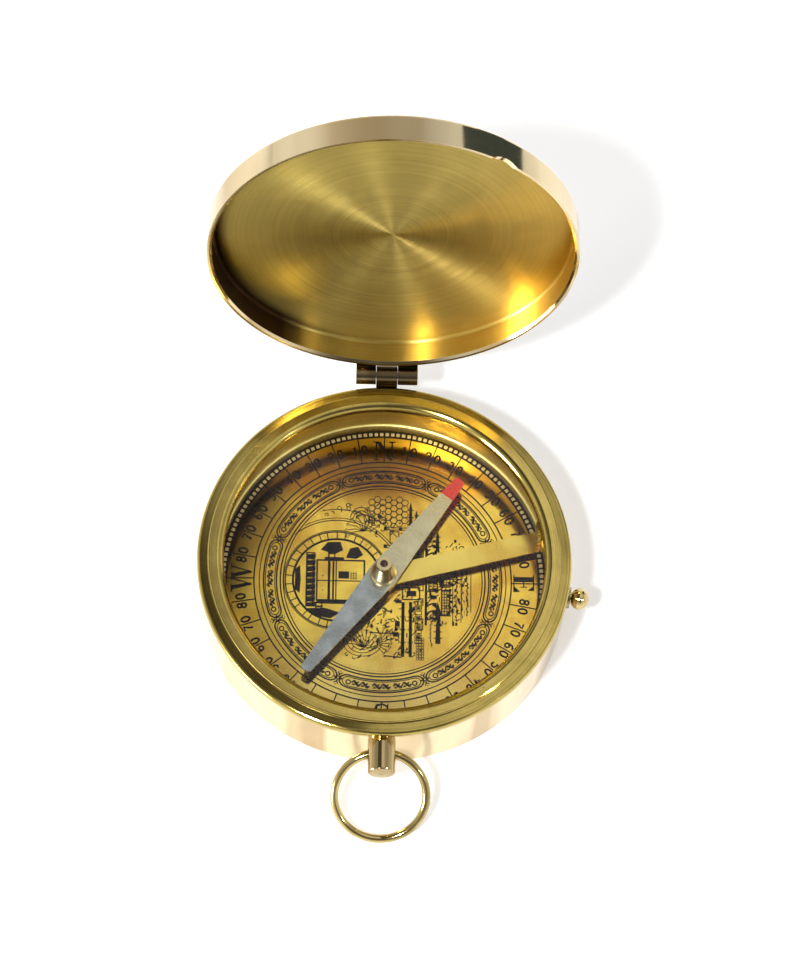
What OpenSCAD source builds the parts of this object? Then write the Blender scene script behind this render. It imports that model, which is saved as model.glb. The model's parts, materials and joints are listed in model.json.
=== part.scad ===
// Pocket ship compass: a turned brass case with a hinged lid, a printed dial under glass,
// a pivoted needle with a needle lock, and a pendant stem that carries a bail ring.
// Millimetres. +Z up, +Y towards the hinge (north on the dial), +X towards the lock knob.
// The origin is the centre of the flat base.

/* [Case] */
// Outside diameter of the case wall
case_d = 75.4; // [62:0.2:92]
// Thickness of the case wall
case_wall = 1.3; // [1:0.1:2]
// Thickness of the case floor
floor_t = 1.4; // [1:0.1:2.5]
// Height of the hollow under the dial
under_dial = 2.3; // [1.5:0.1:4]
// Width of the inside ledge that carries the dial
ledge_w = 1.4; // [1:0.1:2.5]
// Rounding of the bottom edge
base_round = 0.8; // [0.3:0.1:1.2]
// Depth of the rebate round the rim that takes the bezel skirt
rebate = 0.7; // [0.4:0.1:0.9]

/* [Dial and glass] */
// Thickness of the dial plate
dial_t = 1; // [0.6:0.1:1.6]
// Clear height from the dial face to the underside of the glass
well_depth = 10.4; // [8.6:0.1:13]
// Thickness of the glass
glass_t = 1.4; // [1:0.1:2]

/* [Sleeve ring] */
// Width of the sleeve ring's flanges
sleeve_w = 2.4; // [2:0.1:3]
// Thickness of the web between the flanges
web_t = 0.8; // [0.6:0.1:1]
// Thickness of each flange
flange_t = 1; // [0.7:0.1:1.2]
// How far the foot stands inside the upper wall
foot_step = 0.35; // [0.2:0.05:0.6]
// Height of the foot
foot_h = 2.5; // [1.2:0.1:4]

/* [Bezel] */
// How far the bezel stands out past the case wall
bezel_proud = 0.3; // [0.1:0.1:1]
// Width of the outer band
band_w = 2.25; // [1.6:0.05:3]
// Width of the raised ring from its step to the opening
ring_w = 3.25; // [2.6:0.05:4]
// Height of the raised ring above the outer band
step_h = 0.9; // [0.5:0.1:1.2]
// Depth of the opening above the glass
lip_depth = 2; // [1.6:0.1:3]
// Radius of the rounded inner lip
lip_round = 1.4; // [0.6:0.1:1.4]
// Height of the skirt on the case rim
skirt_h = 1.2; // [0.8:0.1:2]
// How far the case rim stands above the glass
rim_over = 0.4; // [0.2:0.1:0.8]
// Fall of the outer band from the step to its edge
band_fall = 0.3; // [0.1:0.1:0.6]
// Radius of the outer edge
edge_round = 0.8; // [0.4:0.1:1]

/* [Lid] */
// Height of the closed lid over its rim
lid_depth = 6.3; // [4:0.1:8]
// Thickness of the lid's wall
lid_wall = 1; // [0.7:0.1:1.3]
// Thickness of the lid's top
lid_t = 0.9; // [0.6:0.1:1.5]
// Rounding of the lid's top edge
lid_round = 0.8; // [0.3:0.1:0.8]
// Rounding inside the lid's corner
lid_fillet = 0.7; // [0.2:0.1:1]
// Angle that the lid stands open at, from closed
lid_open = 101.5; // [90:0.5:112]
// Width of the bevel inside the lid's rim
rim_bevel = 0.45; // [0.1:0.05:0.6]
// Radius of the thumb notch in the lid's rim
notch_r = 4.5; // [3:0.5:8]
// Depth of the thumb notch
notch_depth = 1; // [0.5:0.1:1.6]
// Place of the thumb notch round the rim, from the point opposite the hinge
notch_at = 34; // [0:1:60]

/* [Hinge] */
// Width of the whole hinge
hinge_w = 12.6; // [10:0.2:18]
// Width of the case's middle knuckle
mid_w = 4.3; // [3:0.1:6]
// Diameter of the knuckles
knuckle_d = 4; // [3:0.1:5]
// Diameter of the hinge pin
pin_d = 1.2; // [0.8:0.1:1.8]
// Thickness of both leaves
leaf_t = 0.8; // [0.5:0.1:1]
// Height of the case leaf
leaf_h = 6; // [4:0.5:9]
// Height of the hinge axis below the top of the bezel
axis_drop = 0.6; // [0.3:0.1:1.2]

/* [Stem and bail ring] */
// Diameter of the stem
stem_d = 5.6; // [5:0.1:6.4]
// Length of the stem outside the case
stem_len = 6.9; // [6:0.1:9]
// Diameter of the stem's spigot in the case wall
spigot_d = 3.2; // [2:0.1:4]
// Distance from the case wall to the cross hole
hole_out = 2.6; // [2.2:0.1:3.5]
// Diameter of the cross hole
hole_d = 2.4; // [2.3:0.1:2.8]
// Diameter of the bail ring, at the middle of the wire
bail_d = 18.5; // [16:0.1:24]
// Diameter of the bail wire
wire_d = 1.7; // [1.2:0.1:1.7]

/* [Needle] */
// Clear distance from the needle's ends to the foot of the lock arm
needle_gap = 6.4; // [3:0.1:9]
// Width of the needle at its hub
needle_w = 6.2; // [5.4:0.1:8]
// Width of the needle at its ends
tip_w = 2.3; // [1.2:0.1:3]
// Thickness of the needle
blade_t = 0.45; // [0.3:0.05:0.8]
// Rest direction of the needle, clockwise from north
needle_at = 36.5; // [0:0.5:360]
// Diameter of the cap's shank in the needle
shank_d = 3.8; // [3.6:0.1:4.4]
// Diameter of the cap's foot
cap_d = 5.4; // [5:0.1:6]
// Diameter of the cap's top
cap_top_d = 3; // [2.8:0.1:3.4]
// Diameter of the hole in the cap's top
cap_hole_d = 1.6; // [1.2:0.1:1.8]
// Depth of the hole in the cap's top
cap_hole_depth = 1.75; // [1.2:0.05:2]
// Bore of the cap over the pivot
cap_bore_d = 2.9; // [2.6:0.1:3]
// Diameter of the collet ring under the needle
collet_d = 6.2; // [5.6:0.1:7]
// Thickness of the collet ring
collet_t = 0.7; // [0.4:0.1:1]
// Thickness of the jewel
jewel_t = 1; // [0.7:0.1:1.3]
// Diameter of the pivot pin
pivot_d = 0.9; // [0.6:0.1:1.2]
// Diameter of the pivot post
post_d = 5; // [4:0.1:6]
// Diameter of the post's neck, inside the lock arm's ring
neck_d = 2.2; // [1.8:0.1:2.4]

/* [Needle lock] */
// Height that the lock lifts the needle
lift = 0.8; // [0.5:0.1:1]
// Turn of the lock knob round the case, in degrees
lock_travel = 12; // [8:1:14]
// Rest direction of the knob, anticlockwise from +X
knob_at = -7; // [-12:1:0]
// Direction of the lock arm, anticlockwise from +X
arm_at = 15; // [12:1:25]
// Width of the lock arm
arm_w = 4.3; // [3.5:0.1:5]
// Thickness of the lock arm
arm_t = 0.5; // [0.4:0.1:0.8]
// Clear height under the lock arm
arm_gap = 1.8; // [1.2:0.1:2.4]
// Bore of the lock arm's ring
eye_d = 3.2; // [2.8:0.1:3.8]
// Outside diameter of the lock arm's ring
ring_d = 6; // [5.4:0.1:7]
// Diameter of the guide studs
stud_d = 1.2; // [0.9:0.1:1.4]
// Distance between the two guide studs
stud_pitch = 2.6; // [2.5:0.1:3]
// Thickness of the slider plate
slider_t = 0.8; // [0.6:0.1:0.9]
// Height of the knob above the dial face
knob_up = 4.6; // [4:0.1:5.5]
// Diameter of the knob's ball across the shank
ball_d = 4.5; // [3.5:0.1:6]
// Length of the knob's ball along the shank
ball_len = 3.8; // [3:0.1:5]
// Diameter of the knob's neck through the case wall
knob_neck_d = 2.4; // [1.8:0.1:2.8]
// Diameter of the washer under the knob
washer_d = 4.4; // [3.8:0.1:5.5]
// Thickness of the washer under the knob
washer_t = 0.7; // [0.5:0.1:1]

/* [Hidden] */
$fn = 96;

// Clearances
press_gap = 0.05;   // between a pressed or dropped-in piece and its seat
running_gap = 0.05; // round the hinge pin, and round the jewel
side_gap = 0.1;     // beside knuckles, studs and the slider plate
free_gap = 0.3;     // between bodies that only pass each other
wall_gap = 0.05;    // between the washer and the case wall
point_gap = 0.02;   // between the pivot's point and the jewel
cap_gap = 0.1;      // between the lifted cap and the glass
eps = 0.5;          // how far a cutter runs past what it cuts
end_relief = 0.04;  // how far a slot's round ends stand past its sides

// Heights, from the base up
dial_z0 = floor_t + under_dial;
dial_z = dial_z0 + dial_t;
glass_z = dial_z + well_depth;
glass_top = glass_z + glass_t;
rim_z = glass_top + rim_over;
skirt_z = rim_z - skirt_h;
bezel_top = glass_top + lip_depth;
band_z = bezel_top - step_h;

// Radii, from the wall in
case_r = case_d / 2;
case_in = case_r - case_wall;
ledge_r = case_in - ledge_w;
rebate_r = case_r - rebate;
bezel_r = case_r + bezel_proud;
step_r = bezel_r - band_w;
open_r = step_r - ring_w;
disc_r = case_in - press_gap;
sleeve_in = disc_r - sleeve_w;
foot_in = sleeve_in - foot_step;
web_out = sleeve_in + web_t;
channel_z0 = dial_z + flange_t;
channel_z1 = glass_z - flange_t;

// Lid and hinge
lid_in = step_r + free_gap;
lid_out = lid_in + lid_wall;
lid_z = band_z + free_gap;
knuckle_r = knuckle_d / 2;
hinge_y = bezel_r + free_gap + knuckle_r;
hinge_z = bezel_top - axis_drop;

// Stem and bail ring
stem_z = skirt_z - free_gap - stem_d / 2;
hole_y = -(case_r + hole_out);
bail_r = bail_d / 2;
wire_r = wire_d / 2;
// The wire bows across the stem's cross hole, so the pivot lies at the middle of the bow
bow = bail_r - sqrt(bail_r * bail_r - stem_d * stem_d / 4);
bail_centre = bail_r - bow / 2;
bail_reach = bail_centre + bail_r;
// The ring's far side rests on the surface that the case stands on
bail_tilt = asin(min(1, (stem_z - wire_r) / bail_reach));

// Needle lock
tab_out = foot_in - free_gap;
tab_in = tab_out - arm_t;
arm_z = dial_z + arm_gap;
arm_top = arm_z + arm_t;
stud_r = stud_d / 2;
stud_z = arm_top + stud_d + side_gap;
head_r = stud_r + 0.4;
head_t = 0.4;
tab_top = stud_z + stud_pitch + lift + stud_r + free_gap;
slider_in = web_out + 5 * side_gap;
slider_out = slider_in + slider_t;
slot_r = stud_r + side_gap;
knob_z = dial_z + knob_up;
slider_margin = 3.5;

// Needle and pivot
collet_z = arm_top + free_gap;
blade_z = collet_z + collet_t;
blade_top = blade_z + blade_t;
needle_r = tab_in - needle_gap;
cap_top = glass_z - lift - cap_gap;
jewel_top = cap_top - cap_hole_depth;
jewel_z = jewel_top - jewel_t;
cup_r = 0.5;
cup_h = jewel_t / 2;
point_z = jewel_z + cup_h - point_gap;
post_top = collet_z - 0.2;
post_shoulder = dial_z + 0.9;

// Points of an arc about [cx, cy], for profiles
function arc(cx, cy, r, a0, a1, n = 8) =
    [for (i = [0:n]) let (a = a0 + (a1 - a0) * i / n) [cx + r * cos(a), cy + r * sin(a)]];

// A ring between two radii and two heights
module ring(r0, r1, z0, z1) {
    rotate_extrude() translate([r0, z0]) square([r1 - r0, z1 - z0]);
}

// A sector of a ring, from angle a0 to angle a1
module ring_sector(r0, r1, z0, z1, a0, a1) {
    rotate([0, 0, a0]) rotate_extrude(angle = a1 - a0) translate([r0, z0]) square([r1 - r0, z1 - z0]);
}

// A cylinder along a radius, at angle a and height z
module radial_rod(r, a, z, from, to) {
    rotate([0, 0, a]) translate([from, 0, z]) rotate([0, 90, 0]) cylinder(r = r, h = to - from);
}

// A level slot through the case wall, as long as an arc, with round ends a little wider than it
module wall_slot(half, a0, a1, z, from, to) {
    ring_sector(from, to, z - half + end_relief, z + half - end_relief, a0, a1);
    for (a = [a0, a1]) radial_rod(half, a, z, from, to);
}

// A slot through the slider plate that climbs by the lift between two angles
module climbing_slot(z) {
    a_low = arm_at;
    a_high = arm_at - lock_travel;
    from = slider_in - eps;
    to = slider_out + eps;
    mid_r = (slider_in + slider_out) / 2;
    chord = 2 * mid_r * sin(lock_travel / 2);
    radial_rod(slot_r, a_low, z, from, to);
    radial_rod(slot_r, a_high, z + lift, from, to);
    rotate([0, 0, (a_low + a_high) / 2]) translate([from, 0, z + lift / 2])
        rotate([-atan(lift / chord), 0, 0])
            translate([0, -chord / 2, -slot_r]) cube([to - from, chord, 2 * slot_r]);
}

// Moves the closed lid to the angle that it stands open at
module opened() {
    translate([0, hinge_y, hinge_z]) rotate([-lid_open, 0, 0])
        translate([0, -hinge_y, -hinge_z]) children();
}

// A rod along X through the hinge axis, centred at x
module hinge_rod(r, x, w) {
    translate([x - w / 2, hinge_y, hinge_z]) rotate([0, 90, 0]) cylinder(r = r, h = w);
}

// Turned cup with a ledge for the dial and a rebate for the bezel
module case_shell() {
    profile = concat(
        [[0, 0]],
        arc(case_r - base_round, base_round, base_round, -90, 0),
        [[case_r, skirt_z], [rebate_r, skirt_z], [rebate_r, rim_z], [case_in, rim_z],
         [case_in, dial_z0], [ledge_r, dial_z0], [ledge_r, floor_t], [0, floor_t]]);
    color("burlywood") difference() {
        rotate_extrude() polygon(profile);
        translate([0, 0, floor_t / 2]) cylinder(d = neck_d, h = floor_t);
        translate([0, 0, stem_z]) rotate([90, 0, 0]) cylinder(d = spigot_d, h = case_r + eps);
        wall_slot(knob_neck_d / 2 + side_gap, knob_at, knob_at + lock_travel, knob_z,
                  case_in - eps, case_r + eps);
    }
}

module dial_plate() {
    color("gold") ring(post_d / 2 + press_gap, disc_r, dial_z0, dial_z);
}

// Post with a spigot in the floor, a shoulder through the dial and a neck for the pin
module pivot_post() {
    color("goldenrod") difference() {
        union() {
            translate([0, 0, floor_t / 2]) cylinder(d = neck_d, h = floor_t);
            translate([0, 0, floor_t]) cylinder(d = post_d, h = post_shoulder - floor_t);
            translate([0, 0, post_shoulder - eps]) cylinder(d = neck_d, h = post_top - post_shoulder + eps);
        }
        translate([0, 0, dial_z]) cylinder(d = pivot_d, h = post_top);
    }
}

module pivot_pin() {
    point_len = 1.4;
    color("slategray") translate([0, 0, dial_z]) {
        cylinder(d = pivot_d, h = point_z - dial_z - point_len);
        translate([0, 0, point_z - dial_z - point_len])
            cylinder(d1 = pivot_d, d2 = 0.06, h = point_len);
    }
}

// Spool-shaped ring that clamps the dial, carries the glass and guides the lock
module sleeve_ring() {
    foot_z = dial_z + foot_h;
    slot_z0 = stud_z - slot_r;
    slot_z1 = stud_z + stud_pitch + lift + slot_r;
    profile = [[foot_in, dial_z], [disc_r, dial_z], [disc_r, channel_z0], [web_out, channel_z0],
               [web_out, channel_z1], [disc_r, channel_z1], [disc_r, glass_z], [sleeve_in, glass_z],
               [sleeve_in, foot_z], [foot_in, foot_z - foot_step / 2]];
    color("darkgoldenrod") difference() {
        rotate_extrude() polygon(profile);
        rotate([0, 0, arm_at]) translate([foot_in - eps, -slot_r, slot_z0 + slot_r])
            cube([web_out - foot_in + 2 * eps, 2 * slot_r, slot_z1 - slot_z0 - 2 * slot_r]);
        for (z = [slot_z0 + slot_r, slot_z1 - slot_r])
            radial_rod(slot_r, arm_at, z, foot_in - eps, web_out + eps);
    }
}

module glass() {
    color("lightcyan", 0.4) translate([0, 0, glass_z]) cylinder(r = disc_r, h = glass_t);
}

// Stepped ring: outer band, raised ring with a rounded lip, skirt over the case rim
module bezel() {
    band_out = bezel_r - edge_round;
    edge_z = band_z - band_fall - edge_round;
    profile = concat(
        [[rebate_r + press_gap, skirt_z], [bezel_r, skirt_z]],
        arc(band_out, edge_z, edge_round, 0, 90, 6),
        [[step_r + 0.15, band_z - 0.05], [step_r, band_z]],
        arc(step_r - 0.3, bezel_top - 0.3, 0.3, 0, 90, 4),
        arc(open_r + lip_round, bezel_top - lip_round, lip_round, 90, 180, 8),
        [[open_r, glass_top + 0.2], [open_r + 0.2, glass_top], [disc_r, glass_top],
         [disc_r, rim_z], [rebate_r + press_gap, rim_z]]);
    color("darkkhaki") rotate_extrude() polygon(profile);
}

// Leaf on the case wall with the middle knuckle
module case_hinge_leaf() {
    plate_top = skirt_z - side_gap;
    plate_out = case_r + leaf_t;
    neck_in = bezel_r + side_gap;
    neck_out = neck_in + leaf_t + 0.2;
    neck_side = [[neck_in, plate_top - leaf_h / 2], [neck_out, plate_top - leaf_h / 2],
                 [neck_out, plate_top - leaf_t], [hinge_y + knuckle_r - 0.4, hinge_z - knuckle_r / 2],
                 [hinge_y, hinge_z], [neck_in + 0.5, hinge_z], [neck_in, hinge_z - 1]];
    color("peru") difference() {
        union() {
            intersection() {
                ring(case_r, plate_out, plate_top - leaf_h, plate_top);
                translate([-hinge_w / 2, 0, 0]) cube([hinge_w, plate_out + eps, plate_top + eps]);
            }
            translate([-mid_w / 2, 0, 0]) rotate([90, 0, 90]) linear_extrude(mid_w) polygon(neck_side);
            hinge_rod(knuckle_r, 0, mid_w);
        }
        hinge_rod(pin_d / 2, 0, hinge_w);
    }
}

module hinge_pin() {
    color("dimgray") hinge_rod(pin_d / 2, 0, hinge_w);
}

// Pendant stem with a spigot in the case wall and a cross hole for the bail ring
module stem() {
    stem_r = stem_d / 2;
    end_y = case_r + stem_len;
    dome = 0.5;
    profile = concat(
        [[0, case_in], [spigot_d / 2, case_in], [spigot_d / 2, case_r - eps], [stem_r, case_r - eps]],
        arc(stem_r - dome, end_y - dome, dome, 0, 80, 5),
        [[0, end_y + dome / 4]]);
    color("tan") difference() {
        translate([0, 0, stem_z]) rotate([90, 0, 0]) rotate_extrude() polygon(profile);
        difference() {
            translate([0, 0, stem_z - stem_d]) cylinder(r = case_r, h = 2 * stem_d);
            translate([0, 0, stem_z]) rotate([90, 0, 0]) cylinder(d = spigot_d, h = case_r + eps);
        }
        translate([-stem_d, hole_y, stem_z]) rotate([0, 90, 0]) cylinder(d = hole_d, h = 2 * stem_d);
    }
}

module bail_ring() {
    color("darkgoldenrod") translate([0, hole_y, stem_z]) rotate([bail_tilt, 0, 0])
        translate([0, -bail_centre, 0]) rotate_extrude() translate([bail_r, 0]) circle(r = wire_r);
}

// Shallow turned dish with a thumb notch in its rim
module lid_shell() {
    lid_top = lid_z + lid_depth;
    profile = concat(
        [[lid_in, lid_z + rim_bevel], [lid_in + rim_bevel, lid_z], [lid_out, lid_z]],
        arc(lid_out - lid_round, lid_top - lid_round, lid_round, 0, 90, 6),
        [[0, lid_top], [0, lid_top - lid_t]],
        arc(lid_in - lid_fillet, lid_top - lid_t - lid_fillet, lid_fillet, 90, 0, 5));
    color("khaki") opened() difference() {
        rotate_extrude() polygon(profile);
        radial_rod(notch_r, notch_at - 90, lid_z + notch_depth - notch_r, lid_in - 2, lid_out + eps);
    }
}

// Leaf on the lid's wall with the two outer knuckles
module lid_hinge_leaf() {
    plate_out = lid_out + leaf_t;
    plate_top = lid_z + lid_depth - lid_round;
    ear_top = hinge_z + knuckle_r;
    ear_t = leaf_t + 0.2;
    ear_w = (hinge_w - mid_w) / 2 - side_gap;
    color("peru") opened() difference() {
        union() {
            intersection() {
                ring(lid_out, plate_out, hinge_z + 0.6, plate_top);
                translate([-hinge_w / 2, 0, 0]) cube([hinge_w, plate_out + eps, plate_top + eps]);
            }
            for (side = [-1, 1]) {
                x = side * (hinge_w - ear_w) / 2;
                hinge_rod(knuckle_r, x, ear_w);
                translate([x - ear_w / 2, lid_out + leaf_t / 4, ear_top - ear_t])
                    cube([ear_w, hinge_y - lid_out - leaf_t / 4, ear_t]);
            }
        }
        hinge_rod(pin_d / 2 + running_gap, 0, hinge_w + eps);
        cylinder(r = lid_out, h = plate_top + eps);
    }
}

// Bearing jewel with a cup for the pivot's point
module cap_jewel() {
    color("crimson") difference() {
        translate([0, 0, jewel_z]) cylinder(r = cap_bore_d / 2 - running_gap, h = jewel_t - point_gap);
        translate([0, 0, jewel_z]) cylinder(r1 = cup_r, r2 = 0, h = cup_h);
    }
}

// Long flat needle, widest at its hub
module needle_blade() {
    tip_bevel = 0.4;
    right_side = [[needle_w / 2, 0], [needle_w / 2 - 0.3, needle_w / 2],
                  [tip_w / 2, needle_r - tip_bevel * 1.5], [tip_w / 2 - tip_bevel, needle_r]];
    left_side = [for (i = [3:-1:0]) [-right_side[i][0], right_side[i][1]]];
    north_half = concat(right_side, left_side);
    south_half = [for (i = [1:6]) [-north_half[i][0], -north_half[i][1]]];
    color("lightsteelblue") rotate([0, 0, -needle_at]) translate([0, 0, blade_z]) difference() {
        linear_extrude(blade_t) polygon(concat(north_half, south_half));
        translate([0, 0, -eps]) cylinder(d = shank_d, h = blade_t + 2 * eps);
    }
}

// Hollow cone cap that carries the needle on its shank
module needle_cap() {
    foot_r = cap_d / 2;
    top_r = cap_top_d / 2;
    h = cap_top - blade_top;
    profile = [[cap_bore_d / 2, collet_z], [shank_d / 2, collet_z], [shank_d / 2, blade_top],
               [foot_r, blade_top], [foot_r, blade_top + 0.5], [foot_r - 0.35, blade_top + 0.8],
               [foot_r - 0.6, blade_top + h * 0.4], [top_r + 0.2, cap_top - 0.6], [top_r, cap_top],
               [cap_hole_d / 2, cap_top], [cap_hole_d / 2, jewel_top], [cap_bore_d / 2, jewel_top]];
    color("goldenrod") rotate_extrude() polygon(profile);
}

module cap_collet() {
    color("goldenrod") ring(shank_d / 2, collet_d / 2, collet_z, blade_z);
}

// Strip with a ring round the pivot post and a foot turned up against the sleeve
module lock_arm() {
    color("gold") difference() {
        union() {
            rotate([0, 0, arm_at]) {
                translate([0, 0, arm_z]) rotate([0, 0, 180]) cylinder(d = ring_d, h = arm_t);
                translate([0, -arm_w / 2, arm_z]) cube([tab_out, arm_w, arm_t]);
                translate([tab_in, -arm_w / 2, arm_z]) cube([arm_t, arm_w, tab_top - arm_z]);
            }
        }
        translate([0, 0, arm_z - eps]) cylinder(d = eye_d, h = arm_t + 2 * eps);
        for (z = [stud_z, stud_z + stud_pitch]) radial_rod(stud_r, arm_at, z, tab_in - eps, tab_out + eps);
    }
}

// Two headed studs riveted in the arm's foot
module arm_studs() {
    color("goldenrod") for (z = [stud_z, stud_z + stud_pitch]) {
        radial_rod(head_r, arm_at, z, tab_in - head_t, tab_in);
        radial_rod(stud_r, arm_at, z, tab_in - head_t, slider_out + side_gap);
    }
}

// Curved plate between the sleeve and the case wall, with two climbing slots
module lock_slider() {
    color("darkgoldenrod") difference() {
        ring_sector(slider_in, slider_out, channel_z0 + side_gap, channel_z1 - side_gap,
                    knob_at - slider_margin, arm_at + slider_margin);
        for (z = [stud_z, stud_z + stud_pitch]) climbing_slot(z);
        radial_rod(knob_neck_d / 3, knob_at, knob_z, slider_in - eps, slider_out + eps);
    }
}

// Ball knob with its neck through the case wall and its spigot in the slider
module lock_knob() {
    ball_r = ball_d / 2;
    ball_mid = case_r + wall_gap + washer_t + ball_len / 2;
    ball_arc = [for (i = [0:12]) let (a = -65 + 155 * i / 12)
                [ball_r * cos(a), ball_mid + ball_len / 2 * sin(a)]];
    profile = concat(
        [[0, slider_in], [knob_neck_d / 3, slider_in], [knob_neck_d / 3, slider_out],
         [knob_neck_d / 2, slider_out], [knob_neck_d / 2, ball_arc[0][1]]],
        ball_arc);
    color("khaki") rotate([0, 0, knob_at]) translate([0, 0, knob_z]) rotate([0, 90, 0])
        rotate_extrude() polygon(profile);
}

module knob_washer() {
    color("tan") rotate([0, 0, knob_at]) translate([case_r + wall_gap, 0, knob_z]) rotate([0, 90, 0])
        ring(knob_neck_d / 2, washer_d / 2, 0, washer_t);
}

case_shell();
dial_plate();
pivot_post();
pivot_pin();
sleeve_ring();
glass();
bezel();
case_hinge_leaf();
hinge_pin();
stem();
bail_ring();
lid_shell();
lid_hinge_leaf();
cap_jewel();
needle_blade();
needle_cap();
cap_collet();
lock_arm();
arm_studs();
lock_slider();
lock_knob();
knob_washer();
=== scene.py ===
import json
import math
import random

import bmesh
import bpy
from mathutils import Matrix, Vector

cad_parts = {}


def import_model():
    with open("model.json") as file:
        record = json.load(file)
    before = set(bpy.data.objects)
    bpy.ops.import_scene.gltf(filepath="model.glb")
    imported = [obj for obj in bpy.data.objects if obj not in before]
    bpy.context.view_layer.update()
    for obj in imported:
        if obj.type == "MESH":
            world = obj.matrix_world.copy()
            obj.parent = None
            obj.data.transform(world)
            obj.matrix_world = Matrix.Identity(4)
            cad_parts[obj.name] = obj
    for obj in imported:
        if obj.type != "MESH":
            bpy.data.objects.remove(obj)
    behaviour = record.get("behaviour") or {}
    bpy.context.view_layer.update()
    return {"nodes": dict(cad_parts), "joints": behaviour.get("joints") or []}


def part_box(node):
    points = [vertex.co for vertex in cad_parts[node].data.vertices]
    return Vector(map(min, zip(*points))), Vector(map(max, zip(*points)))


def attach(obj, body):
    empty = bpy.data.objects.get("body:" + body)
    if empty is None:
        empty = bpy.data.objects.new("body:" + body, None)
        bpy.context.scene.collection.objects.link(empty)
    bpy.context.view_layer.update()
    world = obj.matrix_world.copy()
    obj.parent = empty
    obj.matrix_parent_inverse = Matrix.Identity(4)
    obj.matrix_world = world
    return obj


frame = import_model()
nodes = frame["nodes"]
joints = {j["name"]: j for j in frame["joints"]}
rng = random.Random(7)

MM = 0.001
UM = 1e-6
RIGHT, FRONT_BACK, UP = (1.0, 0.0, 0.0), (0.0, 1.0, 0.0), (0.0, 0.0, 1.0)

# ---------------------------------------------------------------- measures
DIAL_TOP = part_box("dial_plate")[1].z
CASE_TOP = 17.9 * MM

# Turning axes of the small parts: a point on each, and the knob's direction
HINGE = Vector(joints["lid_hinge"]["pos_m"])
STEM = (0.0, 0.0, joints["bail_swing"]["pos_m"][2])
KNOB = (0.0, 0.0, joints["lock_turn"]["pos_m"][2])
KNOB_BEARING = math.radians(-7)
KNOB_AXIS = (math.cos(KNOB_BEARING), math.sin(KNOB_BEARING), 0.0)

NEEDLE_BEARING = math.radians(36.5)
NEEDLE_ALONG = Vector((math.sin(NEEDLE_BEARING), math.cos(NEEDLE_BEARING), 0))
NEEDLE_ACROSS = Vector((NEEDLE_ALONG.y, -NEEDLE_ALONG.x, 0))

# The lid's inside faces lie within DISH_R of its axis and within DISH_H of its rim. Its flat
# outside is a little further from the rim than LID_TOP_H.
LID_OPEN = math.radians(joints["lid_hinge"]["range_deg"][1])
DISH_R, DISH_H = 36.08 * MM, 5.9 * MM
LID_TOP_H = 6.25 * MM


def opened(p):
    """A point of the closed lid, moved to where the open lid has it."""
    turn = Matrix.Rotation(-LID_OPEN, 3, "X")
    return HINGE + turn @ (Vector(p) - HINGE)


LID_RIM = opened((0, 0, CASE_TOP))
LID_AXIS = (opened(UP) - opened((0, 0, 0))).normalized()


# ---------------------------------------------------------------- camera
def camera():
    """A long lens from high in front, a little to the left and rolled."""
    azimuth, elevation, roll = math.radians(-3.85), math.radians(67.0), math.radians(4.8)
    target, distance = Vector((0.0026, 0.0118, 0.030)), 0.9
    level = math.cos(elevation)
    back = Vector((math.sin(azimuth) * level, -math.cos(azimuth) * level, math.sin(elevation)))
    data = bpy.data.cameras.new("camera")
    data.lens, data.sensor_width = 168.0, 36
    data.clip_start, data.clip_end = 0.05, 20
    cam = bpy.data.objects.new("camera", data)
    bpy.context.scene.collection.objects.link(cam)
    cam.location = target + back * distance
    look = (-back).to_track_quat("-Z", "Y").to_matrix().to_4x4()
    cam.rotation_euler = (look @ Matrix.Rotation(roll, 4, "Z")).to_euler()
    bpy.context.scene.camera = cam


# ---------------------------------------------------------------- node helpers
def rgba(color):
    """A colour with its alpha. A socket stays as it is."""
    return color + (1,) if isinstance(color, tuple) else color


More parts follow.
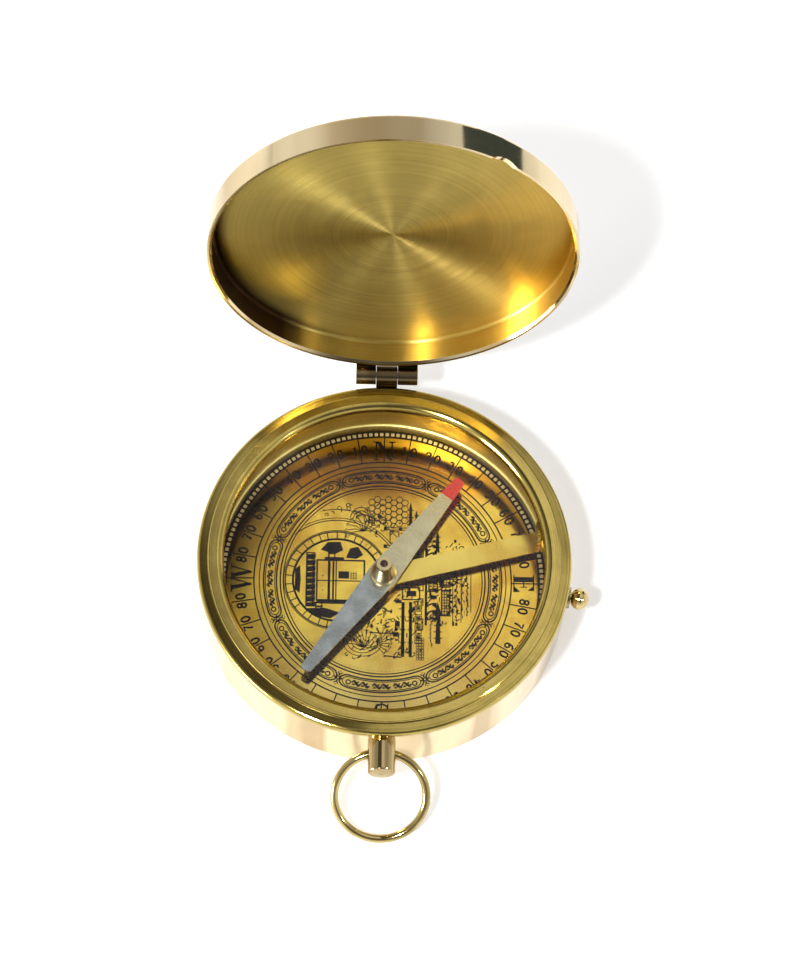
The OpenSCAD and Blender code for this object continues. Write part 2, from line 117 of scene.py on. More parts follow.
class Nodes:
    """Short ways to add nodes. A number or a tuple is set on the socket, the rest is linked."""

    def __init__(self, tree):
        self.tree = tree
        tree.nodes.clear()

    def node(self, kind, **props):
        n = self.tree.nodes.new(kind)
        for k, v in props.items():
            setattr(n, k, v)
        return n

    def link(self, source, socket):
        if isinstance(source, (int, float)):
            socket.default_value = source
        elif isinstance(source, (tuple, Vector)):
            socket.default_value = tuple(source)
        else:
            self.tree.links.new(source, socket)

    def fill(self, n, *sources):
        """Sets or links the node's first inputs, in order."""
        for source, socket in zip(sources, n.inputs):
            self.link(source, socket)
        return n

    def math(self, op, a, b=0.0, c=0.0):
        return self.fill(self.node("ShaderNodeMath", operation=op), a, b, c).outputs[0]

    def vec(self, op, a, b=(0, 0, 0)):
        n = self.fill(self.node("ShaderNodeVectorMath", operation=op), a, b)
        return n.outputs["Value" if op in ("DOT_PRODUCT", "LENGTH") else "Vector"]

    def combine(self, x, y, z=0.0):
        return self.fill(self.node("ShaderNodeCombineXYZ"), x, y, z).outputs[0]

    def split(self, vector):
        return self.fill(self.node("ShaderNodeSeparateXYZ"), vector).outputs

    def noise(self, vector, scale, detail=3.0, rough=0.55, distortion=0.0):
        n = self.node("ShaderNodeTexNoise")
        self.link(vector, n.inputs["Vector"])
        self.link(scale, n.inputs["Scale"])
        self.link(detail, n.inputs["Detail"])
        self.link(rough, n.inputs["Roughness"])
        self.link(distortion, n.inputs["Distortion"])
        return n.outputs["Fac"]

    def remap(self, value, span, to=(0.0, 1.0), curve="LINEAR"):
        """The value's place in span, turned into the same place in to, and kept inside it."""
        n = self.node("ShaderNodeMapRange", clamp=True, interpolation_type=curve)
        return self.fill(n, value, *span, *to).outputs[0]

    def mix(self, share, a, b, blend="MIX"):
        """Colour a where share is 0, and b where it is 1."""
        n = self.node("ShaderNodeMix", data_type="RGBA", blend_type=blend)
        self.link(share, n.inputs[0])
        self.link(rgba(a), n.inputs[6])
        self.link(rgba(b), n.inputs[7])
        return n.outputs[2]

    def mix_shader(self, share, a, b):
        return self.fill(self.node("ShaderNodeMixShader"), share, a, b).outputs[0]


class Mat(Nodes):
    """A node material built a line at a time. Its coords are in the row frame, in metres."""

    def __init__(self, name):
        self.material = bpy.data.materials.new(name)
        self.material.use_nodes = True
        super().__init__(self.material.node_tree)
        self.out = self.node("ShaderNodeOutputMaterial")
        self.coords = self.node("ShaderNodeTexCoord").outputs["Object"]

    def bump(self, height, depth, normal=None):
        n = self.node("ShaderNodeBump")
        n.inputs["Distance"].default_value = depth
        self.link(height, n.inputs["Height"])
        if normal is not None:
            self.link(normal, n.inputs["Normal"])
        return n.outputs[0]

    def shader(self, color, rough, metal=1.0, normal=None, aniso=0.0, tangent=None, **more):
        n = self.node("ShaderNodeBsdfPrincipled")
        self.link(rgba(color), n.inputs["Base Color"])
        self.link(rough, n.inputs["Roughness"])
        n.inputs["Metallic"].default_value = metal
        if normal is not None:
            self.link(normal, n.inputs["Normal"])
        if aniso:
            quarter_turn = 0.25
            n.inputs["Anisotropic"].default_value = aniso
            n.inputs["Anisotropic Rotation"].default_value = quarter_turn
            self.link(tangent, n.inputs["Tangent"])
        for k, v in more.items():
            n.inputs[k.replace("_", " ")].default_value = v
        return n.outputs[0]

    def done(self, shader):
        self.link(shader, self.out.inputs["Surface"])
        return self.material

    def turned(self, centre, axis):
        """(distance from the axis, height along it, tangent round it) for lathe-turned faces."""
        p = self.vec("SUBTRACT", self.coords, tuple(centre))
        h = self.vec("DOT_PRODUCT", p, tuple(axis))
        round_it = self.vec("CROSS_PRODUCT", p, tuple(axis))
        r = self.vec("LENGTH", round_it)
        to_world = self.node("ShaderNodeVectorTransform", vector_type="VECTOR",
                             convert_from="OBJECT", convert_to="WORLD")
        self.link(self.vec("NORMALIZE", round_it), to_world.inputs[0])
        return r, h, to_world.outputs[0]

    def streak(self, h, axis, share):
        """Coordinates drawn out along the axis, so that a noise on them makes streaks."""
        along = self.vec("MULTIPLY", self.combine(h, h, h), tuple(share * a for a in axis))
        return self.vec("SUBTRACT", self.coords, along)

    def grooves(self, r, h, scale, drift=0.0):
        """Fine lathe marks: noise that changes across the marks and hardly along them."""
        p = self.combine(r, h)
        if drift:
            p = self.vec("ADD", p, self.vec("MULTIPLY", self.coords, (drift,) * 3))
        return self.noise(p, scale, detail=2.0, rough=0.7)


# ---------------------------------------------------------------- materials
def polished(name, tone, dark, rough, centre=(0, 0, 0), axis=UP, marks=0.25, streak=0.0):
    """Buffed brass with faint tarnish clouds and specks. marks is the depth of the buffing marks in
    micrometres, and streak is how far the clouds are drawn out along the axis."""
    m = Mat(name)
    r, h, _ = m.turned(centre, axis)
    cloud = m.noise(m.streak(h, axis, streak), scale=75.0, detail=2.0, rough=0.4, distortion=0.9)
    fine = m.grooves(r, h, scale=9000.0, drift=0.02)
    speck = m.noise(m.coords, scale=2600.0, detail=2.0, rough=0.5)
    color = m.mix(m.remap(cloud, (0.45, 0.66), (0.0, 0.8)), tone, dark)
    color = m.mix(m.remap(speck, (0.735, 0.76), (0.0, 0.8)), color, (0.12, 0.08, 0.03))
    uneven = m.math("ADD", m.math("MULTIPLY", fine, 0.4), cloud)
    roughness = m.remap(uneven, (0.5, 1.0), (rough * 0.7, rough * 1.5))
    return m.done(m.shader(color, roughness, normal=m.bump(fine, marks * UM)))


def turned_brass(name, tone, dark, rough, aniso=0.5, marks=2.0, scale=5200.0):
    """Brass turned round the vertical axis: rings of grooves marks micrometres deep, with a banded
    tone that is darker in patches."""
    m = Mat(name)
    r, h, tangent = m.turned((0, 0, 0), UP)
    groove = m.grooves(r, h, scale, drift=0.01)
    band = m.grooves(r, h, scale=1100.0)
    cloud = m.noise(m.coords, scale=130.0, detail=4.0, rough=0.6, distortion=0.4)
    speck = m.noise(m.coords, scale=2200.0, detail=2.0, rough=0.5)
    mixed = m.math("ADD", m.math("MULTIPLY", band, 0.55), m.math("MULTIPLY", cloud, 0.45))
    color = m.mix(m.remap(mixed, (0.36, 0.66)), tone, dark)
    color = m.mix(m.remap(speck, (0.72, 0.745), (0.0, 0.85)), color, (0.09, 0.06, 0.02))
    roughness = m.remap(groove, (0.3, 0.7), (rough * 0.75, rough * 1.3))
    normal = m.bump(groove, marks * UM)
    return m.done(m.shader(color, roughness, normal=normal, aniso=aniso, tangent=tangent))


def spun_brass(m, r, h, tangent):
    """The lid's inside: satin rings, with painted light (warm orange) on one side, painted shade
    (olive) on the other, and a painted dark reflection in that other side's corner.
    """
    painted_light_side, painted_dark_side = (0.9, 0.0, -0.43), (-0.93, 0.0, -0.37)
    painted_shade_olive, straw, stained = (0.34, 0.26, 0.06), (0.64, 0.49, 0.14), (0.42, 0.27, 0.09)
    groove = m.grooves(r, h, scale=6500.0, drift=0.012)
    band = m.grooves(r, h, scale=1900.0)
    cloud = m.noise(m.coords, scale=70.0, detail=4.0, rough=0.6, distortion=0.8)
    stain = m.noise(m.coords, scale=160.0, detail=2.0, rough=0.4)
    mixed = m.math("ADD", m.math("MULTIPLY", band, 0.5), m.math("MULTIPLY", cloud, 0.5))
    color = m.mix(m.remap(mixed, (0.36, 0.64)), straw, (0.47, 0.36, 0.1))
    color = m.mix(m.remap(stain, (0.62, 0.72), (0.0, 0.35)), color, stained)
    from_centre = m.vec("SUBTRACT", m.coords, tuple(LID_RIM))
    # painted light and shade: olive towards one side, warm orange towards the other
    toward_painted_light = m.vec("DOT_PRODUCT", from_centre, painted_light_side)
    color = m.mix(m.remap(toward_painted_light, (-26 * MM, 2 * MM), (0.5, 0.0)), color, painted_shade_olive)
    color = m.mix(m.remap(toward_painted_light, (2 * MM, 34 * MM), (0.0, 0.6)), color, (0.74, 0.46, 0.08))
    # painted dark reflection near the wall on the shaded side
    toward_painted_dark = m.vec("DOT_PRODUCT", from_centre, painted_dark_side)
    painted_dark_reflection = m.math("MULTIPLY", m.remap(r, (32.8 * MM, 35.2 * MM)),
                     m.remap(toward_painted_dark, (20 * MM, 31 * MM), (0.0, 0.97)))
    color = m.mix(painted_dark_reflection, color, (0.022, 0.006, 0.003))
    rough = m.remap(groove, (0.3, 0.7), (0.28, 0.4))
    return m.shader(color, rough, normal=m.bump(groove, 1.2 * UM), aniso=0.93, tangent=tangent)


def buffed_brass(m, r, h):
    """The lid's rim and outside: pale polish, streaked on the rim and calmer on the flat top."""
    fine = m.grooves(r, h, scale=9000.0, drift=0.02)
    wisps = m.noise(m.streak(h, LID_AXIS, 0.85), scale=65.0, detail=2.0, rough=0.4, distortion=0.5)
    strength = m.remap(h, (DISH_H, LID_TOP_H), (0.85, 0.16))
    share = m.math("MULTIPLY", m.remap(wisps, (0.4, 0.66)), strength)
    color = m.mix(share, (0.8, 0.66, 0.41), (0.5, 0.34, 0.14))
    return m.shader(color, m.remap(fine, (0.3, 0.7), (0.05, 0.1)), normal=m.bump(fine, 0.25 * UM))


def lid_material():
    m = Mat("lid_brass")
    r, h, tangent = m.turned(LID_RIM, LID_AXIS)
    inside = m.math("MULTIPLY", m.math("LESS_THAN", r, DISH_R), m.math("LESS_THAN", h, DISH_H))
    return m.done(m.mix_shader(inside, buffed_brass(m, r, h), spun_brass(m, r, h, tangent)))


def needle_material():
    """Ground steel, with grinding marks across the blade, and a warmer tone on its north half that
    is a painted reflection.
    """
    m = Mat("needle_steel")
    y = m.vec("DOT_PRODUCT", m.coords, tuple(NEEDLE_ALONG))
    x = m.vec("DOT_PRODUCT", m.coords, tuple(NEEDLE_ACROSS))
    across_only = m.combine(m.math("MULTIPLY", x, 0.06), y)
    marks = m.noise(across_only, scale=9000.0, detail=2.0, rough=0.6)
    cloud = m.noise(m.coords, scale=260.0, detail=3.0, rough=0.5)
    # painted reflection: a warmer, paler tone over the north half
    north_painted_reflection = m.remap(y, (-4 * MM, 4 * MM))
    blue_grey = m.mix(m.remap(cloud, (0.35, 0.65)), (0.52, 0.56, 0.58), (0.38, 0.41, 0.42))
    color = m.mix(north_painted_reflection, blue_grey, (0.74, 0.66, 0.42))
    rough = m.remap(m.math("ADD", marks, cloud), (0.7, 1.3), (0.16, 0.32))
    return m.done(m.shader(color, rough, normal=m.bump(marks, 0.8 * UM)))


def steel(name, tone=(0.55, 0.54, 0.52)):
    """Drawn steel with dull patches."""
    m = Mat(name)
    cloud = m.noise(m.coords, scale=600.0, detail=3.0, rough=0.5)
    color = m.mix(m.remap(cloud, (0.4, 0.7)), tone, (0.22, 0.2, 0.17))
    grain = m.noise(m.coords, scale=5000.0)
    return m.done(m.shader(color, m.remap(cloud, (0.3, 0.7), (0.175, 0.35)),
                           normal=m.bump(grain, 0.6 * UM)))


def glass_material():
    """Thin clear glass: lets light straight through and mirrors a little, more at a low angle."""
    head_on_share, grazing_share = 0.012, 0.5
    m = Mat("glass_clear")
    smear = m.noise(m.coords, scale=55.0, detail=4.0, rough=0.6, distortion=1.2)
    clear = m.node("ShaderNodeBsdfTransparent")
    clear.inputs["Color"].default_value = (0.985, 0.99, 0.98, 1)
    shine = m.node("ShaderNodeBsdfGlossy")
    shine.inputs["Color"].default_value = (0.95, 0.97, 1.0, 1)
    m.link(m.remap(smear, (0.4, 0.7), (0.0, 0.035)), shine.inputs["Roughness"])
    facing = m.node("ShaderNodeLayerWeight").outputs["Facing"]
    share = m.math("MULTIPLY_ADD", m.math("POWER", facing, 5.0), grazing_share, head_on_share)
    return m.done(m.mix_shader(share, clear.outputs[0], shine.outputs[0]))


def lacquer(name, tone, dark, rough, metal=0.0, grain=1500.0, coat=0.0, gloss=0.5):
    """Paint or print: slightly uneven tone, gloss and surface."""
    m = Mat(name)
    cloud = m.noise(m.coords, grain, detail=3.0, rough=0.6)
    color = m.mix(m.remap(cloud, (0.35, 0.7)), tone, dark)
    return m.done(m.shader(color, m.remap(cloud, (0.3, 0.7), (rough * 0.8, rough * 1.25)),
                           metal=metal, normal=m.bump(cloud, 1.5 * UM), Coat_Weight=coat,
                           Specular_IOR_Level=gloss))


def dial_material():
    """Rolled plate, polished and lacquered: near mirror, with scratches and cloudy tints, and
    painted reflections: grey towards the south, brown towards the north and dark in the west.
    """
    m = Mat("dial_brass")
    cloud = m.noise(m.coords, scale=75.0, detail=4.0, rough=0.6, distortion=0.7)
    rolled = m.vec("MULTIPLY", m.coords, (0.07, 1.0, 1.0))
    scratch = m.noise(rolled, scale=5200.0, detail=2.0, rough=0.7)
    color = m.mix(m.remap(cloud, (0.38, 0.66)), (0.94, 0.66, 0.1), (0.74, 0.43, 0.05))
    # the edges of the painted reflection zones wander with the clouds
    wander = m.vec("MULTIPLY", m.combine(cloud, cloud), (12 * MM,) * 3)
    x, y, _ = m.split(m.vec("ADD", m.coords, wander))
    # painted reflections: a grey zone to the south, a brown one to the north and a dark one to the
    # west
    painted_grey_reflection_south, painted_brown_reflection_north, painted_dark_reflection = (0.46, 0.37, 0.17), (0.66, 0.33, 0.04), (0.05, 0.022, 0.006)
    color = m.mix(m.remap(y, (-4 * MM, -22 * MM), (0.0, 0.6)), color, painted_grey_reflection_south)
    color = m.mix(m.remap(y, (17 * MM, 30 * MM), (0.0, 0.7)), color, painted_brown_reflection_north)
    # painted dark reflection over the west edge of the dial
    west = m.math("SUBTRACT", m.math("MULTIPLY", y, 0.4), x)
    color = m.mix(m.remap(west, (21.5 * MM, 29 * MM), (0.0, 0.93)), color, painted_dark_reflection)
    uneven = m.math("ADD", cloud, m.math("MULTIPLY", scratch, 0.5))
    rough = m.remap(uneven, (0.55, 0.95), (0.07, 0.15))
    wave = m.bump(m.noise(m.coords, scale=45.0, detail=1.0, rough=0.4), 0.22 * MM)
    return m.done(m.shader(color, rough, normal=m.bump(scratch, 0.5 * UM, wave)))


def paint(node, material):
    o = nodes[node]
    o.data.materials.clear()
    o.data.materials.append(material)
    for p in o.data.polygons:
        p.material_index = 0


# Pairs of tones: the clean metal, and what its patches go towards
PLAIN = (0.78, 0.6, 0.22), (0.62, 0.5, 0.17)
CASE = (0.78, 0.64, 0.38), (0.44, 0.29, 0.1)
BEZEL = (0.66, 0.5, 0.14), (0.36, 0.27, 0.07)
SLEEVE = (0.82, 0.68, 0.27), (0.56, 0.45, 0.15)
LEAF = (0.36, 0.28, 0.15), (0.1, 0.07, 0.035)
PENDANT = (0.68, 0.53, 0.27), (0.36, 0.26, 0.11)
BAIL = (0.6, 0.46, 0.19), (0.3, 0.22, 0.08)
CAP = (0.8, 0.66, 0.36), (0.66, 0.52, 0.26)
ARM = (0.97, 0.72, 0.16), (0.88, 0.6, 0.1)
KNOB_TONES = (0.8, 0.63, 0.3), (0.5, 0.37, 0.15)
WASHER = (0.5, 0.42, 0.24), (0.25, 0.2, 0.12)
JEWEL = (0.05, 0.012, 0.016), (0.08, 0.02, 0.02)
INK = (0.006, 0.004, 0.004), (0.016, 0.008, 0.006)
BEAD = (0.72, 0.6, 0.36), (0.5, 0.38, 0.2)
RED = (0.68, 0.035, 0.02), (0.5, 0.02, 0.015)

leaf_finish = dict(rough=0.14, centre=HINGE, axis=RIGHT, marks=0.6)

paint("case_shell", polished("case_brass", *CASE, rough=0.08, streak=0.85))
paint("bezel", turned_brass("bezel_brass", *BEZEL, rough=0.14))
paint("sleeve_ring", turned_brass("sleeve_brass", *SLEEVE, rough=0.4, aniso=0.0))
paint("lid_shell", lid_material())
paint("dial_plate", dial_material())
paint("pivot_post", turned_brass("post_brass", *PLAIN, rough=0.2))
paint("pivot_pin", steel("pin_steel"))
paint("glass", glass_material())
paint("case_hinge_leaf", polished("case_leaf_brass", *LEAF, **leaf_finish))
paint("lid_hinge_leaf", polished("lid_leaf_brass", *LEAF, **leaf_finish))
paint("hinge_pin", steel("hinge_pin_steel", (0.42, 0.38, 0.3)))
paint("stem", polished("stem_brass", *PENDANT, rough=0.1, centre=STEM, axis=FRONT_BACK, marks=0.5))
paint("bail_ring", polished("bail_brass", *BAIL, rough=0.12, marks=0.4))
paint("cap_jewel", lacquer("jewel_ruby", *JEWEL, rough=0.08))
paint("needle_blade", needle_material())
paint("needle_cap", turned_brass("cap_brass", *CAP, rough=0.17, marks=1.2, scale=9000.0))
paint("cap_collet", turned_brass("collet_brass", *PLAIN, rough=0.2))
paint("lock_arm", polished("arm_brass", *ARM, rough=0.2, marks=0.8))
paint("arm_studs", polished("stud_brass", *PLAIN, rough=0.18))
paint("lock_slider", polished("slider_brass", *PLAIN, rough=0.2))
paint("lock_knob", polished("knob_brass", *KNOB_TONES, rough=0.09, centre=KNOB, axis=KNOB_AXIS,
                            marks=0.6))
paint("knob_washer", polished("washer_brass", *WASHER, rough=0.2, centre=KNOB, axis=KNOB_AXIS))


# ---------------------------------------------------------------- new pieces
def add_object(name, verts, faces, material, closed=True):
    """A new mesh in the scene. A closed one gets all its faces turned outwards."""
    mesh = bpy.data.meshes.new(name)
    mesh.from_pydata(verts, [], faces)
    if closed:
        bm = bmesh.new()
        bm.from_mesh(mesh)
        bmesh.ops.recalc_face_normals(bm, faces=bm.faces)
        bm.to_mesh(mesh)
        bm.free()
    mesh.materials.append(material)
    o = bpy.data.objects.new(name, mesh)
    bpy.context.scene.collection.objects.link(o)
    return o


# ---------------------------------------------------------------- printing on the dial
def polar(r, bearing):
    """A point at a radius, by its bearing in degrees clockwise from north."""
    a = math.radians(bearing)
    return r * math.sin(a), r * math.cos(a)


class Print:
    """Flat print on the dial: closed slabs from low to high above the plate. Sizes in mm.

    weight thickens every stroke of it."""

    def __init__(self, low, high, weight=1.0):
        self.low, self.high = DIAL_TOP + low * MM, DIAL_TOP + high * MM
        self.weight = weight
        self.verts, self.faces = [], []
        self.move = Matrix.Identity(3)

    def at(self, x=0.0, y=0.0, turn=0.0, scale=1.0):
        """Everything drawn next is scaled, turned clockwise by turn degrees and moved to x, y."""
        a = -math.radians(turn)
        self.move = Matrix(((scale * math.cos(a), -scale * math.sin(a), x),
                            (scale * math.sin(a), scale * math.cos(a), y), (0, 0, 1)))

    def put(self, points):
        """Adds the points twice, high and low. Gives the first one's number and their count."""
        base = len(self.verts)
        for z in (self.high, self.low):
            for x, y in points:
                p = self.move @ Vector((x, y, 1))
                self.verts.append((p.x * MM, p.y * MM, z))
        return base, len(points)

    def poly(self, points):
        """A filled outline."""
        b, n = self.put(points)
        self.faces.append([b + i for i in range(n)])
        self.faces.append([b + n + i for i in reversed(range(n))])
        for i in range(n):
            j = (i + 1) % n
            self.faces.append([b + j, b + i, b + n + i, b + n + j])

    def strip(self, left, right, closed=False):
        """A band between two rows of points, closed into a ring or ending in flat ends."""
        k = len(left)
        b, n = self.put(list(left) + list(right))
        for i in range(k if closed else k - 1):
            j = (i + 1) % k
            self.faces.append([b + i, b + k + i, b + k + j, b + j])
            self.faces.append([b + n + j, b + n + k + j, b + n + k + i, b + n + i])
            self.faces.append([b + j, b + n + j, b + n + i, b + i])
            self.faces.append([b + k + i, b + n + k + i, b + n + k + j, b + k + j])
        if not closed:
            for i, s in ((0, 1), (k - 1, -1)):
                f = [b + i, b + n + i, b + n + k + i, b + k + i]
                self.faces.append(f[::s])

    def stroke(self, points, width, closed=False, taper=None):
        """A line of the given width through the points; taper gives each point's share of it."""
        left, right = [], []
        k = len(points)
        for i, (x, y) in enumerate(points):
            a = points[(i - 1) % k] if closed or i else points[0]
            c = points[(i + 1) % k] if closed or i < k - 1 else points[-1]
            dx, dy = c[0] - a[0], c[1] - a[1]
            d = math.hypot(dx, dy) or 1.0
            w = width * self.weight / 2 * (taper[i] if taper else 1.0)
            left.append((x - dy / d * w, y + dx / d * w))
            right.append((x + dy / d * w, y - dx / d * w))
        self.strip(left, right, closed)

    def line(self, x0, y0, x1, y1, width):
        self.stroke([(x0, y0), (x1, y1)], width)

    def box(self, x0, y0, x1, y1):
        self.poly([(x0, y0), (x1, y0), (x1, y1), (x0, y1)])

    def frame(self, x0, y0, x1, y1, width):
        """The outline of a box."""
        h = width * self.weight / 2
        outer = [(x0 - h, y0 - h), (x1 + h, y0 - h), (x1 + h, y1 + h), (x0 - h, y1 + h)]
        inner = [(x0 + h, y0 + h), (x1 - h, y0 + h), (x1 - h, y1 - h), (x0 + h, y1 - h)]
        self.strip(outer, inner, True)

    def arc(self, x, y, r, a0, a1, width, n=None, squash=1.0):
        """Angles in degrees clockwise from the top."""
        n = n or max(4, int(abs(a1 - a0) / 6))
        pts = []
        for i in range(n + 1):
            a = math.radians(a0 + (a1 - a0) * i / n)
            pts.append((x + r * math.sin(a), y + r * squash * math.cos(a)))
        self.stroke(pts, width)

    def circle(self, x, y, r, width, n):
        points = [polar(r, 360 * i / n) for i in range(n)]
        self.stroke([(x + px, y + py) for px, py in points], width, True)

    def dot(self, x, y, r, n=8):
        angles = [2 * math.pi * (i + 0.5) / n for i in range(n)]
        self.poly([(x + r * math.cos(a), y + r * math.sin(a)) for a in angles])

    def piece(self, name, material, body="case"):
        o = add_object(name, self.verts, self.faces, material)
        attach(o, body)


ink = lacquer("dial_ink", *INK, rough=0.4, grain=2600.0, gloss=0.12)
INK_LOW, INK_HIGH = -0.004, 0.02
BEAD_LOW, BEAD_HIGH = 0.012, 0.032

# Radii on the dial: the inked rim with its beads, the scale of degrees, the border, the picture
RIM_R, RIM_WIDTH, BEAD_R = 32.73, 1.66, 32.66
SCALE_OUTER, SCALE_INNER, SCALE_EDGE = 32.0, 26.4, 25.3
DIGIT_R, LETTER_R, LETTER_SIZE = 29.35, 28.95, 4.3
BORDER_R, BORDER_EDGE, PICTURE_EDGE, PICTURE_DOTS_R = 23.1, 21.0, 20.4, 19.85

# The picture's courtyard: its centre's x, its ring's two radii, and the radius kept clear for it
YARD_X, YARD_INNER, YARD_OUTER, YARD_CLEAR = -9.4, 9.0, 10.6, 11.4


def oval(half_width, half_height, n, y=0.0):
    """A closed oval path of n steps about (0, y), its last point on its first."""
    angles = [2 * math.pi * i / n for i in range(n + 1)]
    return [(half_width * math.sin(a), y + half_height * math.cos(a)) for a in angles]


# Strokes of each digit, in a box 1 wide and 2 high about the origin
DIGITS = {
    "0": [oval(0.5, 0.93, 16)],
    "1": [[(-0.32, 0.55), (0.08, 0.95), (0.08, -0.97)]],
    "2": [[(-0.48, 0.5), (-0.36, 0.82), (0.0, 0.95), (0.38, 0.8), (0.45, 0.42), (0.2, 0.0),
           (-0.48, -0.9), (0.52, -0.9)]],
    "3": [[(-0.42, 0.72), (-0.1, 0.94), (0.3, 0.84), (0.4, 0.45), (0.05, 0.08), (0.42, -0.25),
           (0.42, -0.68), (0.05, -0.94), (-0.45, -0.7)]],
    "4": [[(0.2, -0.97), (0.2, 0.95), (-0.52, -0.35), (0.52, -0.35)]],
    "5": [[(0.42, 0.9), (-0.32, 0.9), (-0.4, 0.08), (0.05, 0.22), (0.42, -0.02), (0.46, -0.5),
           (0.1, -0.93), (-0.45, -0.72)]],
    "6": [[(0.38, 0.8), (0.02, 0.95), (-0.36, 0.55), (-0.48, -0.2), (-0.4, -0.7), (0.0, -0.94),
           (0.4, -0.72), (0.44, -0.25), (0.1, 0.08), (-0.42, -0.2)]],
    "7": [[(-0.48, 0.9), (0.48, 0.9), (0.05, 0.0), (-0.12, -0.97)]],
    "8": [oval(0.42, 0.44, 12, 0.5), oval(0.47, 0.48, 12, -0.46)],
}


def letter(pr, name, bearing):
    """Bold serif compass letter, its top outwards."""
    pr.at(*polar(LETTER_R, bearing), bearing, LETTER_SIZE)
    if name == "N":
        pr.box(-0.42, -0.5, -0.34, 0.46)
        pr.box(0.34, -0.36, 0.42, 0.5)
        pr.poly([(-0.42, 0.5), (-0.2, 0.5), (0.42, -0.5), (0.3, -0.5), (0.2, -0.42)])
        pr.box(-0.52, -0.5, -0.24, -0.44)
        pr.box(-0.54, 0.44, -0.2, 0.5)
        pr.box(0.22, 0.44, 0.54, 0.5)
    elif name == "E":
        pr.box(-0.34, -0.5, -0.08, 0.5)
        pr.box(-0.44, 0.44, 0.36, 0.5)
        pr.box(-0.44, -0.5, 0.4, -0.44)
        pr.poly([(0.36, 0.5), (0.36, 0.22), (0.32, 0.22), (0.14, 0.44), (0.14, 0.5)])
        pr.poly([(0.44, -0.5), (0.42, -0.2), (0.38, -0.2), (0.16, -0.44), (0.16, -0.5)])
        pr.box(-0.08, -0.03, 0.2, 0.03)
        pr.box(0.16, -0.15, 0.2, 0.15)
    elif name == "S":
        pts = [(0.3, 0.2), (0.26, 0.38), (0.06, 0.47), (-0.2, 0.42), (-0.28, 0.24), (-0.16, 0.08),
               (0.12, -0.06), (0.28, -0.22), (0.2, -0.42), (-0.04, -0.48), (-0.26, -0.38),
               (-0.32, -0.18)]
        pr.stroke(pts, 0.19, taper=[0.4, 0.5, 0.5, 0.7, 1.0, 1.15, 1.15, 1.0, 0.7, 0.5, 0.5, 0.4])
        pr.box(0.26, 0.16, 0.31, 0.5)
        pr.box(-0.34, -0.5, -0.29, -0.14)
    else:  # W
        for s in (-0.62, 0.0):
            pr.poly([(s, 0.5), (s + 0.22, 0.5), (s + 0.4, -0.36), (s + 0.34, -0.5),
                     (s + 0.28, -0.5)])
        for s in (0.0, 0.62):
            pr.poly([(s - 0.06, 0.5), (s + 0.02, 0.5), (s - 0.28, -0.5), (s - 0.34, -0.5)])
        pr.box(-0.72, 0.44, -0.34, 0.5)
        pr.box(-0.12, 0.44, 0.28, 0.5)
        pr.box(0.48, 0.44, 0.74, 0.5)
    pr.at()


def scale_print():
    """The inked rim, and degrees from 0 at north and south to 90 at east and west."""
    pr = Print(INK_LOW, INK_HIGH)
    pr.circle(0, 0, RIM_R, RIM_WIDTH, 240)
    pr.circle(0, 0, SCALE_INNER, 0.3, 220)
    pr.circle(0, 0, SCALE_EDGE, 0.2, 220)
    for b in range(0, 360, 10):
        pr.line(*polar(SCALE_INNER, b), *polar(SCALE_OUTER, b), 0.26)
        quarter = b % 90
        if quarter == 0:
            continue
        value = quarter if b < 90 or 180 < b < 270 else 90 - quarter
        for d, side in zip(str(value), (-1, 1)):
            pr.at(*polar(DIGIT_R, b), b)
            for path in DIGITS[d]:
                pr.stroke([(side + px * 1.02, py * 0.98) for px, py in path], 0.42)
            pr.at()
    for b, name in ((0, "N"), (90, "E"), (180, "S"), (270, "W")):
        letter(pr, name, b)
    pr.piece("dial_scale_print", ink)


def bead_print():
    """A row of 180 pale squares with cut corners, on the inked rim."""
    pr = Print(BEAD_LOW, BEAD_HIGH)
    half, cut = 0.36, 0.1
    short = half - cut
    for b in range(1, 360, 2):
        pr.at(*polar(BEAD_R, b), b)
        pr.poly([(-short, -half), (short, -half), (half, -short), (half, short), (short, half),
                 (-short, half), (-half, short), (-half, -short)])
    pr.at()
    pr.piece("dial_beads", lacquer("bead_enamel", *BEAD, rough=0.3, metal=0.6))


def vine(pr, length, amp, loops, width):
    """A wavy stem with curled leaves, along x about the origin."""
    n = loops * 10
    stem = [(length * (i / n - 0.5), amp * math.sin(i * math.pi / 5)) for i in range(n + 1)]
    pr.stroke(stem, width)
    for k in range(loops * 2):
        x = length * ((k + 0.5) / (2 * loops) - 0.5)
        s = 1 if k % 2 == 0 else -1
        pr.arc(x, -s * amp * 0.15, amp * 0.55, 200 * s, -60 * s, width * 0.9, 8)
        pr.dot(x + amp * 0.2, -s * amp * 0.25, width * 0.85)


def cartouche(mid, inset):
    """The outline of one of the border's eight long frames, round at both ends, by its bearing."""
    width, span = 1.32 - inset, 17.6 - inset * 1.2
    bulge = math.degrees(width / BORDER_R) * 1.25
    sides = [t / 12 for t in range(-12, 13)]
    ends = [t * math.pi / 6 for t in range(1, 6)]
    points = []
    for s in (1, -1):
        points += [polar(BORDER_R + s * width, mid + s * span * t) for t in sides]
        points += [polar(BORDER_R + s * width * math.cos(a), mid + s * (span + bulge * math.sin(a)))
                   for a in ends]
    return points


def rosette(pr):
    """Eight petals and two curls, between two frames of the border."""
    for p in range(8):
        a = math.radians(p * 45)
        pr.poly([(r * math.cos(a + turn), r * math.sin(a + turn))
                 for r, turn in ((0.22, 0), (0.72, 0.3), (1.12, 0), (0.72, -0.3))])
    pr.circle(0, 0, 0.3, 0.12, 12)
    for s in (-1, 1):
        pr.arc(0, s * 1.35, 0.42, 90 if s > 0 else -90, 270 if s > 0 else 90, 0.12, 8)
        pr.dot(0, s * 1.5, 0.13)


